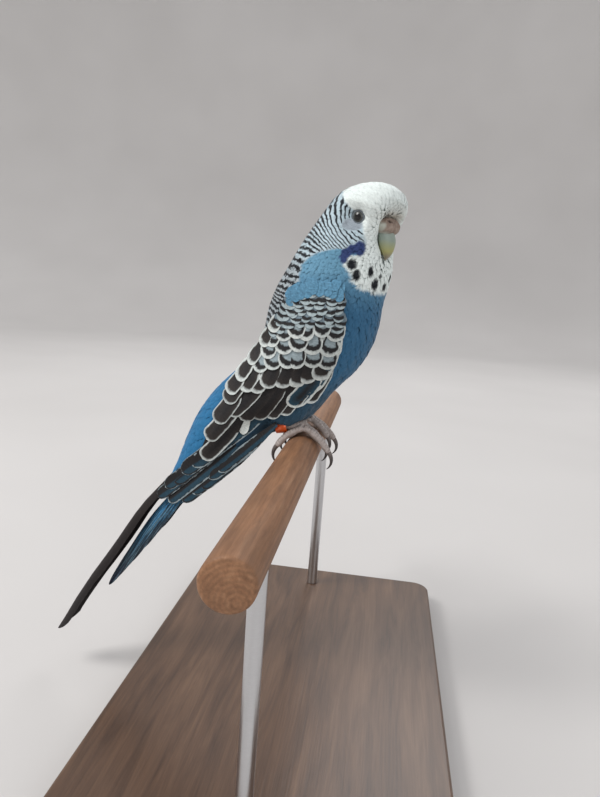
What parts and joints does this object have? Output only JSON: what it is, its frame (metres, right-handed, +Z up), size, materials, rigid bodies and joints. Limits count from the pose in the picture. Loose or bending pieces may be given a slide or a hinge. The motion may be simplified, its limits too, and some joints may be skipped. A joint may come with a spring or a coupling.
{
  "type": "perched budgerigar display model",
  "caption": "Life-size still model of a perched blue and white budgerigar gripping a round dowel, held over a flat display base by upright rods.",
  "frame": {"origin": "middle of the display base's underside", "axes": "+X is the way the bird's body faces, +Y its left side, along the dowel, +Z up"},
  "size_m": [0.1591, 0.222, 0.2002],
  "materials": {
    "head_feathers": "soft matt white feathers",
    "neck_feathers": "soft matt feathers, fine dark and white bars",
    "body_feathers": "soft matt sky-blue feathers",
    "wing_feathers": "matt dark feathers with pale rims",
    "flight_feathers": "smooth dark feathers with thin pale edges",
    "tail_feathers": "smooth dark blue feathers",
    "cere": "dry matt tan skin",
    "bill": "smooth horn",
    "eye": "wet gloss",
    "foot_skin": "scaled skin",
    "claw": "smooth dark horn",
    "leg_ring": "glossy orange-red",
    "dowel_wood": "worn plain wood",
    "base_wood": "satin dark wood",
    "rod_steel": "brushed"
  },
  "bodies": {
    "root": {"head": "head_feathers", "neck": "neck_feathers", "trunk": "body_feathers", "rump": "body_feathers", "cere": "cere", "bill_upper": "bill", "bill_lower": "bill", "eye_right": "eye", "eye_left": "eye", "wing_right": "wing_feathers", "wing_left": "wing_feathers", "flight_feathers_right": "flight_feathers", "flight_feathers_left": "flight_feathers", "tail_centre": "tail_feathers", "tail_side_right": "tail_feathers", "tail_side_left": "tail_feathers", "leg_right": "body_feathers", "leg_left": "body_feathers", "foot_right": "foot_skin", "foot_left": "foot_skin", "claw_right_outer_front": "claw", "claw_right_inner_front": "claw", "claw_right_outer_back": "claw", "claw_right_inner_back": "claw", "claw_left_outer_front": "claw", "claw_left_inner_front": "claw", "claw_left_outer_back": "claw", "claw_left_inner_back": "claw", "ring_right": "leg_ring", "perch": "dowel_wood", "stand_base": "base_wood", "stand_rod_near": "rod_steel", "stand_rod_far": "rod_steel"}
  },
  "joints": []
}
